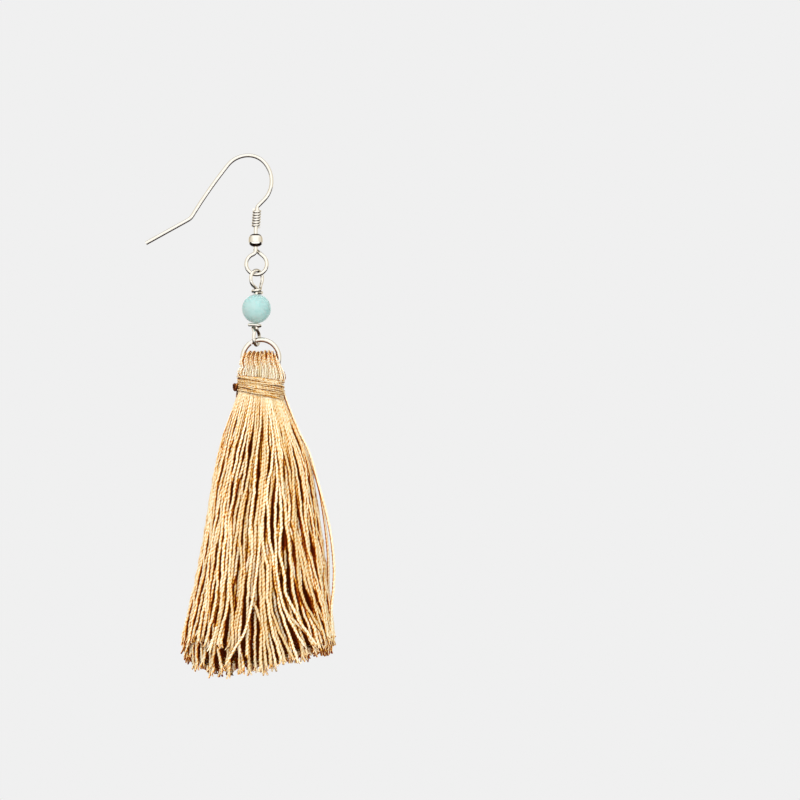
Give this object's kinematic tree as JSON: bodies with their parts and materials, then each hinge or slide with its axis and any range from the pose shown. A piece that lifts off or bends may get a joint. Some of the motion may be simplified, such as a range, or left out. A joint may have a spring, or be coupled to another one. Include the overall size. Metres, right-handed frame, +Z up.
{
  "type": "tassel earring",
  "caption": "Drop earring: fish hook ear wire with coil and ball, a round bead on a wrapped wire link, and a thread tassel that hangs from a split ring and is bound at the neck.",
  "frame": {"origin": "underside of the ear wire at the top of its arch, where it rests in the ear", "axes": "+Z up as the earring hangs; +X to the right in the plane of the ear wire and of the ring; +Y to the back, through the thickness"},
  "size_m": [0.039, 0.0198, 0.1085],
  "materials": {
    "wire": "bright silver plate",
    "coil_wire": "bright silver plate",
    "ball_metal": "polished silver plate",
    "link_wire": "bright silver plate",
    "bead_stone": "opaque polished pale turquoise",
    "ring_metal": "bright silver plate",
    "thread": "twisted matte yarn, straw beige",
    "binding_thread": "fine twisted thread, tan"
  },
  "bodies": {
    "hook": {"ear_hook": "wire", "hook_coil": "coil_wire", "hook_ball": "ball_metal"},
    "bead_drop": {"bead_link": "link_wire", "bead": "bead_stone"},
    "tassel_drop": {"tassel_ring": "ring_metal", "tassel": "thread", "neck_binding": "binding_thread"}
  },
  "joints": [
    {"name": "drop_swing", "type": "hinge", "parent": "hook", "child": "bead_drop", "pos_m": [0.00169, 0, -0.02424], "axis": [1, 0, 0], "range_deg": [-50, 50]},
    {"name": "tassel_swing", "type": "hinge", "parent": "bead_drop", "child": "tassel_drop", "pos_m": [0.00169, 0, -0.03887], "axis": [0, 1, 0], "range_deg": [-50, 50]}
  ]
}
